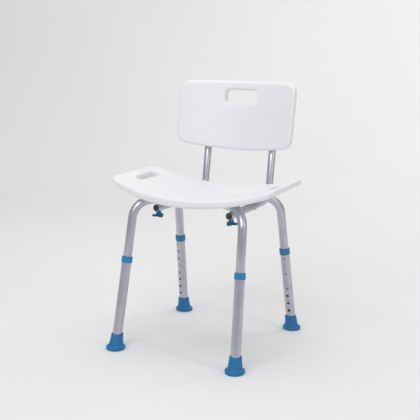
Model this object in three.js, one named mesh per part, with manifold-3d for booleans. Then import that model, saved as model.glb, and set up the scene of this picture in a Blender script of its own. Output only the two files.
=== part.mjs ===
// Height-adjustable bath chair: curved plastic seat with two hand-holds, curved
// plastic backrest on two posts, a crossed pair of bent aluminium leg frames and
// four push-button leg extensions with collars and flared rubber tips.
// Millimetres, +Z up. Front of the chair is -Y, the sitter's left side is +X.
import * as THREE from "three";
import { mergeVertices } from "three/addons/utils/BufferGeometryUtils.js";
import Module from "manifold-3d";

const wasm = await Module();
wasm.setup();

// ---------------------------------------------------------------- dimensions
const SHIFT_Y = -8.05; // puts the origin under the middle of the overall box

// legs: straight lines that lean outwards towards the floor
const LEG_X = 195.556; // half spacing of the leg axes at the floor
const LEG_Y = 209.882;
const LEAN_X = 0.046; // inward travel per unit of height
const LEAN_Y = 0.187;

// leg frames (two crossed inverted U's)
const FRAME_R = 12.7; // 25.4 mm tube
const FRAME_WALL = 1.3;
const FRAME_Z = 436.5; // height of the level diagonals
const FRAME_BEND = 60;
const FRAME_END_Z = 131; // lower, hidden end of each upper leg tube
const CROSS_HALF = 18.6; // half length of the pressed flat at the crossing

// leg extensions
const EXT_R = 14.3; // 28.6 mm tube
const EXT_BORE = 13.1;
const EXT_START = 17.6; // along the leg axis from the floor
const EXT_TOP_Z = 268;
const HOLE_PITCH = 25.4;
const HOLE_COUNT = 8;
const HOLE_R = 3.9;
const BUTTON_Z = 168.7; // height of the hole that the button sits in
const BUTTON_INDEX = 3; // holes above it
const HOLE_YAW = 9; // degrees the holes turn outwards

// collars, tips, washers
const COLLAR_R = 16.1;
const COLLAR_Z0 = 253.5;
const COLLAR_Z1 = 271.8;
const TIP_SLEEVE_TOP = 46.4;
const TIP_FLANGE_R = 28.3;

// snap clips
const BUTTON_R = 3.5;
const BUTTON_PROUD = 2.3;
const SPRING_W = 8;

// seat
const SEAT_W = 258.5; // half width
const SEAT_FRONT = 180; // depth from the origin to the front edge, at the middle
const SEAT_BACK = 134;
const SEAT_FRONT_SWEEP = 50; // how far the front edge runs back at the ends
const SEAT_BACK_SWEEP = 14;
const SEAT_CORNER_F = 34;
const SEAT_CORNER_B = 40;
const SEAT_Z = 449.2; // mid-surface height at the middle
const SEAT_K2 = 35.6;
const SEAT_K4 = 6;
const SEAT_END_TILT = 3.5;
const SEAT_HALF_T = 12.2;
const SEAT_TAPER = 3.2;
const GRIP_X = 213; // hand-hold centre
const GRIP_HALF_W = 13.5;
const GRIP_HALF_L = 58;
const GRIP_Y = 8;

// backrest
const BACK_WT = 195.3; // half width at the top
const BACK_WB = 193.4; // half width at the bottom
const BACK_TOP = 771.5;
const BACK_BOTTOM = 559.3;
const BACK_BOTTOM_RISE = 19.5;
const BACK_CORNER = 31;
const BACK_T = 28;
const BACK_CURVE = 50; // forward sweep at 200 mm from the middle
const BACK_OFFSET = -7.8;
const SLOT_HALF_W = 54.5; // hand slot, square to the panel
const SLOT_Z0 = 701.5;
const SLOT_Z1 = 743.5;
const SLOT_CORNER = 11;

// backrest tubes
const POST_R = 11.1; // 22.2 mm tube
const POST_WALL = 1.2;
const POST_Z = 412.2; // height of the level run
const POST_BEND = 55;
const POST_X_FRONT = 118.9;
const POST_X = 111.4;
const POST_FRONT_Y = -101;
const POST_TOP_Z = 690;
const POST_LEAN = 0.161;
const POST_Y450 = 196.6;

// fasteners
const FRONT_X = 118.5, FRONT_Y = -86.7; // crossing of frame and backrest tube
const REAR_X = 114.2, REAR_Y = 83.6;
const STUD_R = 3.0;
const STUD_HOLE_R = 3.7;
const STUD_TOP = 458;
const KNOB_TOP = 400.6;
const KNOB_H = 15.6;
const KNOB_PLATE = 6.4; // thickness of the three-lobed plate
const KNOB_TIP_R = 20;
const KNOB_LOBE_DEG = 27; // direction of one lobe, left knob turned by half a turn

// facet counts
const N_TUBE = 16;
const N_TIP = 16;

// ------------------------------------------------------------------- helpers
const V = (x, y, z) => new THREE.Vector3(x, y, z);

function solid(geometry) {
  const g = geometry.index ? geometry.toNonIndexed() : geometry.clone();
  g.deleteAttribute("normal");
  g.deleteAttribute("uv");
  const m = mergeVertices(g, 1e-4);
  const idx = [];
  const a = m.index.array;
  for (let i = 0; i < a.length; i += 3)
    if (a[i] !== a[i + 1] && a[i + 1] !== a[i + 2] && a[i] !== a[i + 2])
      idx.push(a[i], a[i + 1], a[i + 2]);
  const build = (t) =>
    new wasm.Manifold(
      new wasm.Mesh({
        numProp: 3,
        vertProperties: new Float32Array(m.attributes.position.array),
        triVerts: new Uint32Array(t),
      }),
    );
  const s = build(idx);
  if (s.volume() >= 0) return s;
  const flip = [];
  for (let i = 0; i < idx.length; i += 3) flip.push(idx[i], idx[i + 2], idx[i + 1]);
  return build(flip);
}

function geometryOf(s) {
  const m = s.getMesh();
  const n = m.numProp;
  const v = new Float32Array(m.numVert * 3);
  for (let i = 0; i < m.numVert; i++)
    v.set(m.vertProperties.subarray(i * n, i * n + 3), i * 3);
  const g = new THREE.BufferGeometry();
  g.setAttribute("position", new THREE.BufferAttribute(v, 3));
  g.setIndex(new THREE.BufferAttribute(new Uint32Array(m.triVerts), 1));
  const flat = g.toNonIndexed();
  flat.computeVertexNormals();
  return flat;
}

// a polyline with rounded corners, sampled only where it bends
class BentPath extends THREE.Curve {
  constructor(corners, radii, arcSteps) {
    super();
    this.p = [];
    this.t = [];
    const dir = (a, b) => b.clone().sub(a).normalize();
    const n = corners.length;
    this.p.push(corners[0].clone());
    this.t.push(dir(corners[0], corners[1]));
    for (let i = 1; i < n - 1; i++) {
      const d1 = dir(corners[i - 1], corners[i]);
      const d2 = dir(corners[i], corners[i + 1]);
      const phi = Math.acos(THREE.MathUtils.clamp(d1.dot(d2), -1, 1));
      const r = radii[i - 1];
      const side = d2.clone().addScaledVector(d1, -d2.dot(d1)).normalize();
      const start = corners[i].clone().addScaledVector(d1, -r * Math.tan(phi / 2));
      const centre = start.clone().addScaledVector(side, r);
      for (let k = 0; k <= arcSteps; k++) {
        const a = (phi * k) / arcSteps;
        this.p.push(
          centre.clone().addScaledVector(side, -r * Math.cos(a)).addScaledVector(d1, r * Math.sin(a)),
        );
        this.t.push(
          side.clone().multiplyScalar(Math.sin(a)).addScaledVector(d1, Math.cos(a)).normalize(),
        );
      }
    }
    this.p.push(corners[n - 1].clone());
    this.t.push(dir(corners[n - 2], corners[n - 1]));
    this.steps = this.p.length - 1;
  }
  at(u) {
    return Math.round(u * this.steps);
  }
  getPoint(u, target = new THREE.Vector3()) {
    return target.copy(this.p[this.at(u)]);
  }
  getPointAt(u, target = new THREE.Vector3()) {
    return target.copy(this.p[this.at(u)]);
  }
  getTangent(u, target = new THREE.Vector3()) {
    return target.copy(this.t[this.at(u)]);
  }
  getTangentAt(u, target = new THREE.Vector3()) {
    return target.copy(this.t[this.at(u)]);
  }
}

function circlePoints(r, n, reverse) {
  const out = [];
  for (let i = 0; i < n; i++) {
    const a = ((reverse ? -i : i) * 2 * Math.PI) / n;
    out.push(new THREE.Vector2(r * Math.cos(a), r * Math.sin(a)));
  }
  return out;
}

function tubeAlong(path, rOuter, rInner, n) {
  const shape = new THREE.Shape(circlePoints(rOuter, n, false));
  if (rInner > 0) shape.holes.push(new THREE.Path(circlePoints(rInner, n, true)));
  return solid(
    new THREE.ExtrudeGeometry(shape, {
      steps: path.steps,
      extrudePath: path,
      bevelEnabled: false,
      curveSegments: n,
    }),
  );
}

// straight round bar between two points
function bar(a, b, r, n = 12, r2 = r) {
  const d = b.clone().sub(a);
  const g = new THREE.CylinderGeometry(r2, r, d.length(), n);
  g.applyQuaternion(new THREE.Quaternion().setFromUnitVectors(V(0, 1, 0), d.clone().normalize()));
  const c = a.clone().add(b).multiplyScalar(0.5);
  g.translate(c.x, c.y, c.z);
  return solid(g);
}

// box of given size with its X along angle (radians, about Z)
function box(cx, cy, cz, sx, sy, sz, angle = 0) {
  const g = new THREE.BoxGeometry(sx, sy, sz);
  g.rotateZ(angle);
  g.translate(cx, cy, cz);
  return solid(g);
}

// lathe about +Z from [radius, height] pairs
function lathe(profile, n) {
  const g = new THREE.LatheGeometry(profile.map(([r, z]) => new THREE.Vector2(r, z)), n);
  g.rotateX(Math.PI / 2);
  return g;
}

// a slab: a lathe whose rings follow an outline instead of a circle
function slab(outline, rings, place) {
  const n = outline.length;
  const g = new THREE.LatheGeometry(
    rings.map((r) => new THREE.Vector2(r.scale === 0 ? 0 : 1, r.h)),
    n,
  );
  const normal = outline.map((p, i) => {
    const a = outline[(i + n - 1) % n];
    const b = outline[(i + 1) % n];
    const t = b.clone().sub(a).normalize();
    return new THREE.Vector2(t.y, -t.x);
  });
  const pos = g.attributes.position;
  const m = rings.length;
  for (let i = 0; i <= n; i++)
    for (let j = 0; j < m; j++) {
      const k = i % n;
      const r = rings[j];
      const u = (outline[k].x - normal[k].x * r.inset) * r.scale;
      const v = (outline[k].y - normal[k].y * r.inset) * r.scale;
      const q = place(u, v, r.h);
      pos.setXYZ(i * m + j, q.x, q.y, q.z);
    }
  return solid(g);
}

const root = new THREE.Group();
root.name = "bath_chair";
const chair = new THREE.Group();
chair.name = "chair";
chair.position.set(0, SHIFT_Y, 0);
root.add(chair);

const LOOK = {
  white: [0xe9eaee, 0.42, 0],
  aluminium: [0xb4b3bb, 0.38, 0.85],
  blue: [0x2a7cb9, 0.5, 0],
  knob: [0x1f5f8f, 0.45, 0],
  plug: [0x3a3c40, 0.6, 0],
  steel: [0xa9abb0, 0.35, 0.9],
  brass: [0xb39a5a, 0.4, 0.9],
};
function add(name, s, look) {
  const [color, roughness, metalness] = LOOK[look];
  const mesh = new THREE.Mesh(
    geometryOf(s),
    new THREE.MeshStandardMaterial({ color, roughness, metalness }),
  );
  mesh.name = name;
  chair.add(mesh);
}

// ---------------------------------------------------------------------- legs
const legPoint = (sx, sy, z) => V(sx * (LEG_X - LEAN_X * z), sy * (LEG_Y - LEAN_Y * z), z);
const LEG_UNIT = Math.hypot(1, LEAN_X, LEAN_Y);
const legAxis = (sx, sy) => V(-sx * LEAN_X, -sy * LEAN_Y, 1).normalize();
function holeDirection(sx, sy) {
  const a = THREE.MathUtils.degToRad(HOLE_YAW);
  const d = V(sx * Math.sin(a), -sy * Math.cos(a), 0);
  const e = legAxis(sx, sy);
  return d.addScaledVector(e, -d.dot(e)).normalize();
}
const legs = [
  ["fl", -1, -1],
  ["fr", 1, -1],
  ["rl", -1, 1],
  ["rr", 1, 1],
];

// local leg frame: +X out of the button hole, +Z up the leg, origin on the floor
function legMatrix(sx, sy) {
  const ez = legAxis(sx, sy);
  const ex = holeDirection(sx, sy);
  const ey = ez.clone().cross(ex);
  return new THREE.Matrix4()
    .makeBasis(ex, ey, ez)
    .setPosition(legPoint(sx, sy, 0));
}
const inLeg = (g, sx, sy) => g.applyMatrix4(legMatrix(sx, sy));
const along = (z) => z * LEG_UNIT;

for (const [tag, sx, sy] of legs) {
  // extension tube with eight adjustment holes in one wall
  const top = along(EXT_TOP_Z);
  let ext = solid(
    inLeg(
      lathe(
        [
          [EXT_BORE, EXT_START],
          [EXT_R, EXT_START],
          [EXT_R, top],
          [EXT_BORE, top],
          [EXT_BORE, EXT_START],
        ],
        N_TUBE,
      ),
      sx,
      sy,
    ),
  );
  const first = along(BUTTON_Z) + BUTTON_INDEX * HOLE_PITCH;
  const hd = holeDirection(sx, sy);
  const e = legAxis(sx, sy);
  const foot = legPoint(sx, sy, 0);
  for (let i = 0; i < HOLE_COUNT; i++) {
    const c = foot.clone().addScaledVector(e, first - i * HOLE_PITCH);
    ext = ext.subtract(
      bar(c.clone().addScaledVector(hd, 6), c.clone().addScaledVector(hd, 20), HOLE_R, 8),
    );
  }
  add("leg_extension_" + tag, ext, "aluminium");

  // collar: skirt round the extension, lip round the upper tube
  const c0 = along(COLLAR_Z0);
  const c1 = along(COLLAR_Z1);
  add(
    "leg_collar_" + tag,
    solid(
      inLeg(
        lathe(
          [
            [14.75, c0],
            [COLLAR_R - 1.2, c0],
            [COLLAR_R, c0 + 1.6],
            [COLLAR_R, c1 - 3],
            [COLLAR_R - 1.0, c1 - 0.8],
            [COLLAR_R - 2.0, c1],
            [13.1, c1],
            [13.1, top + 0.4],
            [14.75, top + 0.4],
            [14.75, c0],
          ],
          N_TUBE,
        ),
        sx,
        sy,
      ),
    ),
    "blue",
  );

  // flared tip, leaning with the leg but with a level sole
  const tip = lathe(
    [
      [0, 0],
      [TIP_FLANGE_R - 3.0, 0],
      [TIP_FLANGE_R - 0.6, 2.2],
      [TIP_FLANGE_R, 5.0],
      [TIP_FLANGE_R - 0.9, 8.6],
      [TIP_FLANGE_R - 3.4, 10.6],
      [22.2, 12.4],
      [21.0, 16.4],
      [19.2, 28.0],
      [17.6, TIP_SLEEVE_TOP - 1.6],
      [16.6, TIP_SLEEVE_TOP],
      [15.3, TIP_SLEEVE_TOP],
      [15.3, 12],
      [0, 12],
    ],
    N_TIP,
  );
  const tp = tip.attributes.position;
  for (let i = 0; i < tp.count; i++) {
    const z = tp.getZ(i);
    const c = legPoint(sx, sy, z);
    tp.setXYZ(i, tp.getX(i) + c.x, tp.getY(i) + c.y, z);
  }
  add("foot_tip_" + tag, solid(tip), "blue");

  // flat steel washer that the tube end stands on
  add(
    "foot_washer_" + tag,
    solid(
      inLeg(
        lathe(
          [
            [3, 15.2],
            [13.9, 15.2],
            [13.9, 17.2],
            [3, 17.2],
            [3, 15.2],
          ],
          12,
        ),
        sx,
        sy,
      ),
    ),
    "steel",
  );

  // snap clip: domed button on a V of spring strip inside the upper tube
  const strip = new THREE.Shape(
    [
      [10.2, -6],
      [10.2, 5],
      [3.2, 36],
      [2.0, 38.6],
      [0, 39.6],
      [-2.0, 38.6],
      [-3.2, 36],
      [-10.2, 4],
      [-10.2, -4],
      [-9.4, -4],
      [-9.4, 4],
      [-2.5, 35.8],
      [-1.5, 37.9],
      [0, 38.7],
      [1.5, 37.9],
      [2.5, 35.8],
      [9.4, 5],
      [9.4, -6],
    ].map(([x, y]) => new THREE.Vector2(x, y)),
  );
  const sg = new THREE.ExtrudeGeometry(strip, { depth: SPRING_W, bevelEnabled: false });
  sg.rotateX(Math.PI / 2);
  sg.translate(0, SPRING_W / 2, along(BUTTON_Z));
  const face = EXT_R + BUTTON_PROUD;
  const bg = lathe(
    [
      [0, 9.8],
      [BUTTON_R, 9.8],
      [BUTTON_R, face - 1.6],
      [BUTTON_R - 0.9, face - 0.5],
      [0, face],
    ],
    12,
  );
  bg.rotateY(Math.PI / 2);
  bg.translate(0, 0, along(BUTTON_Z));
  add(
    "snap_button_" + tag,
    solid(inLeg(sg, sx, sy)).add(solid(inLeg(bg, sx, sy))),
    "steel",
  );
}

// -------------------------------------------------------------- leg frames
const crossings = [
  [FRONT_X, FRONT_Y],
  [-FRONT_X, FRONT_Y],
  [REAR_X, REAR_Y],
  [-REAR_X, REAR_Y],
];
const vertical = (x, y, r, z0, z1, n = 10) => bar(V(x, y, z0), V(x, y, z1), r, n);

function legFrame(a, b, upper) {
  const [, ax, ay] = a;
  const [, bx, by] = b;
  const path = new BentPath(
    [
      legPoint(ax, ay, FRAME_END_Z),
      legPoint(ax, ay, FRAME_Z),
      legPoint(bx, by, FRAME_Z),
      legPoint(bx, by, FRAME_END_Z),
    ],
    [FRAME_BEND, FRAME_BEND],
    5,
  );
  let s = tubeAlong(path, FRAME_R, FRAME_R - FRAME_WALL, N_TUBE);
  // pressed flat where the two frames cross
  const end = legPoint(bx, by, FRAME_Z);
  const ang = Math.atan2(end.y, end.x);
  const g = 0.2;
  const wall = 1.4;
  const sign = upper ? -1 : 1; // side of the tube that is pressed in
  const half = 20;
  const notch = box(0, 0, FRAME_Z + sign * (half / 2 - g), 2 * CROSS_HALF, 40, half, ang);
  s = s.subtract(notch);
  const core = tubeAlong(
    new BentPath(
      [
        V(-30 * Math.cos(ang), -30 * Math.sin(ang), FRAME_Z),
        V(30 * Math.cos(ang), 30 * Math.sin(ang), FRAME_Z),
      ],
      [],
      1,
    ),
    FRAME_R - 0.15,
    0,
    N_TUBE,
  );
  let fill = box(0, 0, FRAME_Z - sign * (g + wall / 2), 2 * CROSS_HALF + 2 * wall, 40, wall, ang);
  for (const q of [-1, 1]) {
    const d = q * (CROSS_HALF + wall / 2);
    fill = fill.add(
      box(
        d * Math.cos(ang),
        d * Math.sin(ang),
        FRAME_Z + sign * (half / 2 - g - wall / 2),
        wall,
        40,
        half + wall,
        ang,
      ),
    );
  }
  s = s.add(core.intersect(fill));
  // rivet hole and the two stud holes
  s = s.subtract(vertical(0, 0, 3.4, FRAME_Z - 20, FRAME_Z + 20));
  for (const [x, y] of crossings)
    if (Math.sign(x * y) === Math.sign(end.x * end.y))
      s = s.subtract(vertical(x, y, STUD_HOLE_R, FRAME_Z - 20, FRAME_Z + 20));
  // button holes
  for (const [, sx, sy] of [a, b]) {
    const c = legPoint(sx, sy, BUTTON_Z);
    const hd = holeDirection(sx, sy);
    s = s.subtract(
      bar(c.clone().addScaledVector(hd, 6), c.clone().addScaledVector(hd, 20), HOLE_R, 8),
    );
  }
  return s;
}
add("leg_frame_a", legFrame(legs[0], legs[3], true), "aluminium");
add("leg_frame_b", legFrame(legs[1], legs[2], false), "aluminium");

// rivet that holds the two frames together
{
  const zt = FRAME_Z + FRAME_R + 0.3;
  const zb = FRAME_Z - FRAME_R - 0.3;
  add(
    "frame_rivet",
    solid(
      lathe(
        [
          [0, zb - 2.4],
          [3.6, zb - 1.9],
          [5.6, zb],
          [3.0, zb],
          [3.0, zt],
          [5.6, zt],
          [3.6, zt + 1.9],
          [0, zt + 2.4],
        ],
        12,
      ),
    ),
    "steel",
  );
}

// ------------------------------------------------------------ backrest tubes
const postY = (z) => POST_Y450 + POST_LEAN * (z - 450);
for (const [tag, sx] of [
  ["left", -1],
  ["right", 1],
]) {
  const path = new BentPath(
    [
      V(sx * POST_X_FRONT, POST_FRONT_Y, POST_Z),
      V(sx * POST_X, postY(POST_Z), POST_Z),
      V(sx * POST_X, postY(POST_TOP_Z), POST_TOP_Z),
    ],
    [POST_BEND],
    5,
  );
  let s = tubeAlong(path, POST_R, POST_R - POST_WALL, N_TUBE);
  for (const [x, y] of crossings)
    if (Math.sign(x) === sx)
      s = s.subtract(vertical(x, y, STUD_HOLE_R, POST_Z - 20, POST_Z + 20));
  const sc = V(sx * POST_X, postY(602), 602);
  const back = V(0, 1, -POST_LEAN).normalize();
  s = s.subtract(bar(sc, sc.clone().addScaledVector(back, 20), 2.6, 8));
  add("backrest_tube_" + tag, s, "aluminium");

  // recessed end plug with two raised rings
  const plug = lathe(
    [
      [0, 1.6],
      [3.2, 1.6],
      [3.2, 3.0],
      [5.4, 3.0],
      [5.4, 1.6],
      [7.2, 1.6],
      [7.2, 0.8],
      [9.4, 0.8],
      [9.4, 9.5],
      [0, 9.5],
    ],
    N_TUBE,
  );
  plug.rotateX(-Math.PI / 2); // +Z becomes +Y
  plug.rotateZ(-Math.atan2(sx * (POST_X - POST_X_FRONT), postY(POST_Z) - POST_FRONT_Y));
  plug.translate(sx * POST_X_FRONT, POST_FRONT_Y, POST_Z);
  add("tube_plug_" + tag, solid(plug), "plug");

  // screw through the socket's rear wall into the post
  const d0 = sc.clone().addScaledVector(back, 6);
  const d1 = sc.clone().addScaledVector(back, 15.4);
  const d2 = sc.clone().addScaledVector(back, 17.6);
  add("backrest_screw_" + tag, bar(d0, d1.clone().addScaledVector(back, 0.5), 2.0, 8).add(bar(d1, d2, 4.6, 12, 3.6)), "steel");
}

// ------------------------------------------------------- knobs, studs, bolts
for (const [tag, sx] of [
  ["left", -1],
  ["right", 1],
]) {
  const x = sx * FRONT_X;
  const pts = [];
  const turn = THREE.MathUtils.degToRad(KNOB_LOBE_DEG + (sx < 0 ? 180 : 0));
  for (let i = 0; i < 27; i++) {
    const a = (i * 2 * Math.PI) / 27;
    const r = 12.7 + (KNOB_TIP_R - 14.0) * Math.cos(3 * (a - turn));
    pts.push(new THREE.Vector2(r * Math.cos(a), r * Math.sin(a)));
  }
  const kg = new THREE.ExtrudeGeometry(new THREE.Shape(pts), {
    depth: KNOB_PLATE - 2.6,
    bevelEnabled: true,
    bevelThickness: 1.3,
    bevelSize: 1.3,
    bevelSegments: 1,
  });
  kg.translate(x, FRONT_Y, KNOB_TOP - KNOB_H + 1.3);
  const hub = lathe(
    [
      [0, KNOB_TOP - KNOB_H + 3],
      [10.4, KNOB_TOP - KNOB_H + 3],
      [10.4, KNOB_TOP - KNOB_H + KNOB_PLATE],
      [7.6, KNOB_TOP - 4.6],
      [6.9, KNOB_TOP],
      [0, KNOB_TOP],
    ],
    N_TUBE,
  );
  hub.translate(x, FRONT_Y, 0);
  add(
    "clamp_knob_" + tag,
    solid(kg)
      .add(solid(hub))
      .subtract(vertical(x, FRONT_Y, 3.5, KNOB_TOP - KNOB_H + 3.6, KNOB_TOP + 4, 12)),
    "knob",
  );
  add(
    "knob_stud_" + tag,
    vertical(x, FRONT_Y, STUD_R, KNOB_TOP - KNOB_H + 4, STUD_TOP, 10),
    "steel",
  );
  // rear bolt with a low domed socket head
  const rx = sx * REAR_X;
  const head = lathe(
    [
      [0, KNOB_TOP - 2.4],
      [3.8, KNOB_TOP - 2.4],
      [5.4, KNOB_TOP - 1.5],
      [5.9, KNOB_TOP],
      [STUD_R, KNOB_TOP],
      [STUD_R, STUD_TOP],
      [0, STUD_TOP],
    ],
    12,
  );
  head.translate(rx, REAR_Y, 0);
  add(
    "rear_bolt_" + tag,
    solid(head).subtract(vertical(rx, REAR_Y, 2.0, KNOB_TOP - 6, KNOB_TOP - 0.9, 6)),
    "steel",
  );
  // threaded inserts moulded into the seat
  for (const [end, ix, iy] of [
    ["front", x, FRONT_Y],
    ["rear", rx, REAR_Y],
  ]) {
    const ins = lathe(
      [
        [3.6, 450.4],
        [5.0, 450.4],
        [5.0, 460.4],
        [3.6, 460.4],
        [3.6, 450.4],
      ],
      12,
    );
    ins.translate(ix, iy, 0);
    add("seat_insert_" + end + "_" + tag, solid(ins), "brass");
  }
}

// ---------------------------------------------------------------------- seat
function seatOutline() {
  const front = (x) => -SEAT_FRONT + SEAT_FRONT_SWEEP * (x / SEAT_W) ** 2;
  const back = (x) => SEAT_BACK - SEAT_BACK_SWEEP * (x / SEAT_W) ** 2;
  const out = [];
  const corner = (cx, cy, rx, ry, a0, steps) => {
    for (let k = 0; k <= steps; k++) {
      const a = a0 + (k * Math.PI) / 2 / steps;
      out.push(new THREE.Vector2(cx + rx * Math.cos(a), cy + ry * Math.sin(a)));
    }
  };
  const xf = SEAT_W - SEAT_CORNER_F;
  const xb = SEAT_W - SEAT_CORNER_B;
  const inner = 8;
  for (let k = 1; k < inner; k++) {
    const x = -xf + (2 * xf * k) / inner;
    out.push(new THREE.Vector2(x, front(x)));
  }
  corner(xf, front(xf) + SEAT_CORNER_F, SEAT_CORNER_F, SEAT_CORNER_F, -Math.PI / 2, 4);
  for (const t of [0.33, 0.67]) {
    const y0 = front(xf) + SEAT_CORNER_F;
    const y1 = back(xb) - SEAT_CORNER_B;
    out.push(new THREE.Vector2(SEAT_W, y0 + (y1 - y0) * t));
  }
  corner(xb, back(xb) - SEAT_CORNER_B, SEAT_CORNER_B, SEAT_CORNER_B, 0, 4);
  for (let k = 1; k < inner; k++) {
    const x = xb - (2 * xb * k) / inner;
    out.push(new THREE.Vector2(x, back(x)));
  }
  corner(-xb, back(xb) - SEAT_CORNER_B, SEAT_CORNER_B, SEAT_CORNER_B, Math.PI / 2, 4);
  for (const t of [0.33, 0.67]) {
    const y1 = front(xf) + SEAT_CORNER_F;
    const y0 = back(xb) - SEAT_CORNER_B;
    out.push(new THREE.Vector2(-SEAT_W, y0 + (y1 - y0) * t));
  }
  corner(-xf, front(xf) + SEAT_CORNER_F, SEAT_CORNER_F, SEAT_CORNER_F, Math.PI, 4);
  return out;
}
const seatMid = (x, y) =>
  SEAT_Z +
  SEAT_K2 * (x / 250) ** 2 +
  SEAT_K4 * (x / 250) ** 4 +
  (SEAT_END_TILT * (x / 253) ** 2 * y) / 150;
const seatHalf = (x) => SEAT_HALF_T - SEAT_TAPER * Math.min(1, (x / 253) ** 2);
{
  const rings = [{ scale: 0, inset: 0, h: -1 }];
  for (const s of [0.25, 0.5, 0.75]) rings.push({ scale: s, inset: 7, h: -1 });
  rings.push({ scale: 1, inset: 7, h: -1 });
  rings.push({ scale: 1, inset: 2.2, h: -0.8 });
  rings.push({ scale: 1, inset: 0, h: -0.35 });
  rings.push({ scale: 1, inset: 0, h: 0.3 });
  rings.push({ scale: 1, inset: 2.2, h: 0.78 });
  rings.push({ scale: 1, inset: 7, h: 1 });
  for (const s of [0.75, 0.5, 0.25]) rings.push({ scale: s, inset: 7, h: 1 });
  rings.push({ scale: 0, inset: 0, h: 1 });
  let seat = slab(seatOutline(), rings, (x, y, h) =>
    V(x, y, seatMid(x, y) + h * seatHalf(x)),
  );
  // hand-holds
  for (const sx of [-1, 1]) {
    const r = GRIP_HALF_W;
    const l = GRIP_HALF_L - r;
    const sh = new THREE.Shape();
    const pts = [];
    for (let k = 0; k <= 8; k++) {
      const a = (k * Math.PI) / 8;
      pts.push(new THREE.Vector2(r * Math.cos(a), l + r * Math.sin(a)));
    }
    for (let k = 0; k <= 8; k++) {
      const a = Math.PI + (k * Math.PI) / 8;
      pts.push(new THREE.Vector2(r * Math.cos(a), -l + r * Math.sin(a)));
    }
    sh.setFromPoints(pts);
    const g = new THREE.ExtrudeGeometry(sh, { depth: 120, bevelEnabled: false });
    g.translate(sx * GRIP_X, GRIP_Y, 430);
    seat = seat.subtract(solid(g));
  }
  // channels for the level runs of the two leg frames
  for (const sy of [-1, 1]) {
    const a = legPoint(-1, -sy, FRAME_Z);
    const b = legPoint(1, sy, FRAME_Z);
    const ang = Math.atan2(b.y - a.y, b.x - a.x);
    seat = seat.subtract(
      tubeAlong(new BentPath([a, b], [], 1), FRAME_R + 0.75, 0, 20),
    );
    seat = seat.subtract(box(0, 0, FRAME_Z - 15, 440, 2 * FRAME_R + 1.3, 30, ang));
  }
  seat = seat.subtract(vertical(0, 0, 7.5, 440, 453.2, 12));
  for (const [x, y] of crossings) seat = seat.subtract(vertical(x, y, 5.6, 440, 461, 12));
  add("seat_panel", seat, "white");
}

// ------------------------------------------------------------------ backrest
{
  const zt = BACK_TOP;
  const bottom = (x) => BACK_BOTTOM + BACK_BOTTOM_RISE * (x / BACK_WB) ** 2;
  const r = BACK_CORNER;
  const out = [];
  const xb = BACK_WB - r;
  const xt = BACK_WT - r;
  const zm = 665;
  const corner = (cx, cz, a0) => {
    for (let k = 0; k <= 4; k++) {
      const a = a0 + (k * Math.PI) / 8;
      out.push(new THREE.Vector2(cx + r * Math.cos(a), cz + r * Math.sin(a) - zm));
    }
  };
  const inner = 8;
  for (let k = 1; k < inner; k++) {
    const x = -xb + (2 * xb * k) / inner;
    out.push(new THREE.Vector2(x, bottom(x) - zm));
  }
  corner(xb, bottom(xb) + r, -Math.PI / 2);
  corner(xt, zt - r, 0);
  for (let k = 1; k < inner; k++) out.push(new THREE.Vector2(xt - (2 * xt * k) / inner, zt - zm));
  corner(-xt, zt - r, Math.PI / 2);
  corner(-xb, bottom(xb) + r, Math.PI);
  const rings = [{ scale: 0, inset: 0, h: -1 }];
  for (const s of [0.33, 0.67]) rings.push({ scale: s, inset: 7.5, h: -1 });
  rings.push({ scale: 1, inset: 7.5, h: -1 });
  rings.push({ scale: 1, inset: 2.4, h: -0.84 });
  rings.push({ scale: 1, inset: 0, h: -0.45 });
  rings.push({ scale: 1, inset: 0, h: 0.45 });
  rings.push({ scale: 1, inset: 2.4, h: 0.84 });
  rings.push({ scale: 1, inset: 7.5, h: 1 });
  for (const s of [0.67, 0.33]) rings.push({ scale: s, inset: 7.5, h: 1 });
  rings.push({ scale: 0, inset: 0, h: 1 });
  const half = BACK_T / 2;
  let panel = slab(out, rings, (x, w, h) => {
    const z = w + zm;
    return V(x, postY(z) + BACK_OFFSET - BACK_CURVE * (x / 200) ** 2 + h * half, z);
  });
  // sockets for the posts
  for (const sx of [-1, 1]) {
    const at = (z) => V(sx * POST_X, postY(z), z);
    panel = panel
      .add(bar(at(570), at(700), 15.0, 16))
      .add(bar(at(699.9), at(706), 15.0, 16, 10.5));
  }
  for (const sx of [-1, 1]) {
    const at = (z) => V(sx * POST_X, postY(z), z);
    panel = panel.subtract(bar(at(540), at(POST_TOP_Z + 4), 11.6, 16));
    const sc = V(sx * POST_X, postY(602), 602);
    const back = V(0, 1, -POST_LEAN).normalize();
    panel = panel.subtract(bar(sc, sc.clone().addScaledVector(back, 20), 2.6, 8));
  }
  // hand slot
  const sh = new THREE.Shape();
  const pts = [];
  const q = SLOT_CORNER;
  for (const [cx, cz, a0] of [
    [SLOT_HALF_W - q, SLOT_Z1 - q, 0],
    [-SLOT_HALF_W + q, SLOT_Z1 - q, Math.PI / 2],
    [-SLOT_HALF_W + q, SLOT_Z0 + q, Math.PI],
    [SLOT_HALF_W - q, SLOT_Z0 + q, -Math.PI / 2],
  ])
    for (let k = 0; k <= 4; k++) {
      const a = a0 + (k * Math.PI) / 8;
      pts.push(new THREE.Vector2(cx + q * Math.cos(a), cz + q * Math.sin(a)));
    }
  sh.setFromPoints(pts);
  const g = new THREE.ExtrudeGeometry(sh, { depth: 140, bevelEnabled: false });
  const zs = (SLOT_Z0 + SLOT_Z1) / 2;
  g.translate(0, -zs, -70);
  g.rotateX(Math.PI / 2 - Math.atan(POST_LEAN)); // shape Y becomes Z, depth runs forwards and up
  g.translate(0, postY(zs) + BACK_OFFSET, zs);
  panel = panel.subtract(solid(g));
  add("backrest_panel", panel, "white");
}

export default root;
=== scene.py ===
import math
import bpy
import bmesh
import numpy as np
from mathutils import Matrix, Vector, geometry

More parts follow.
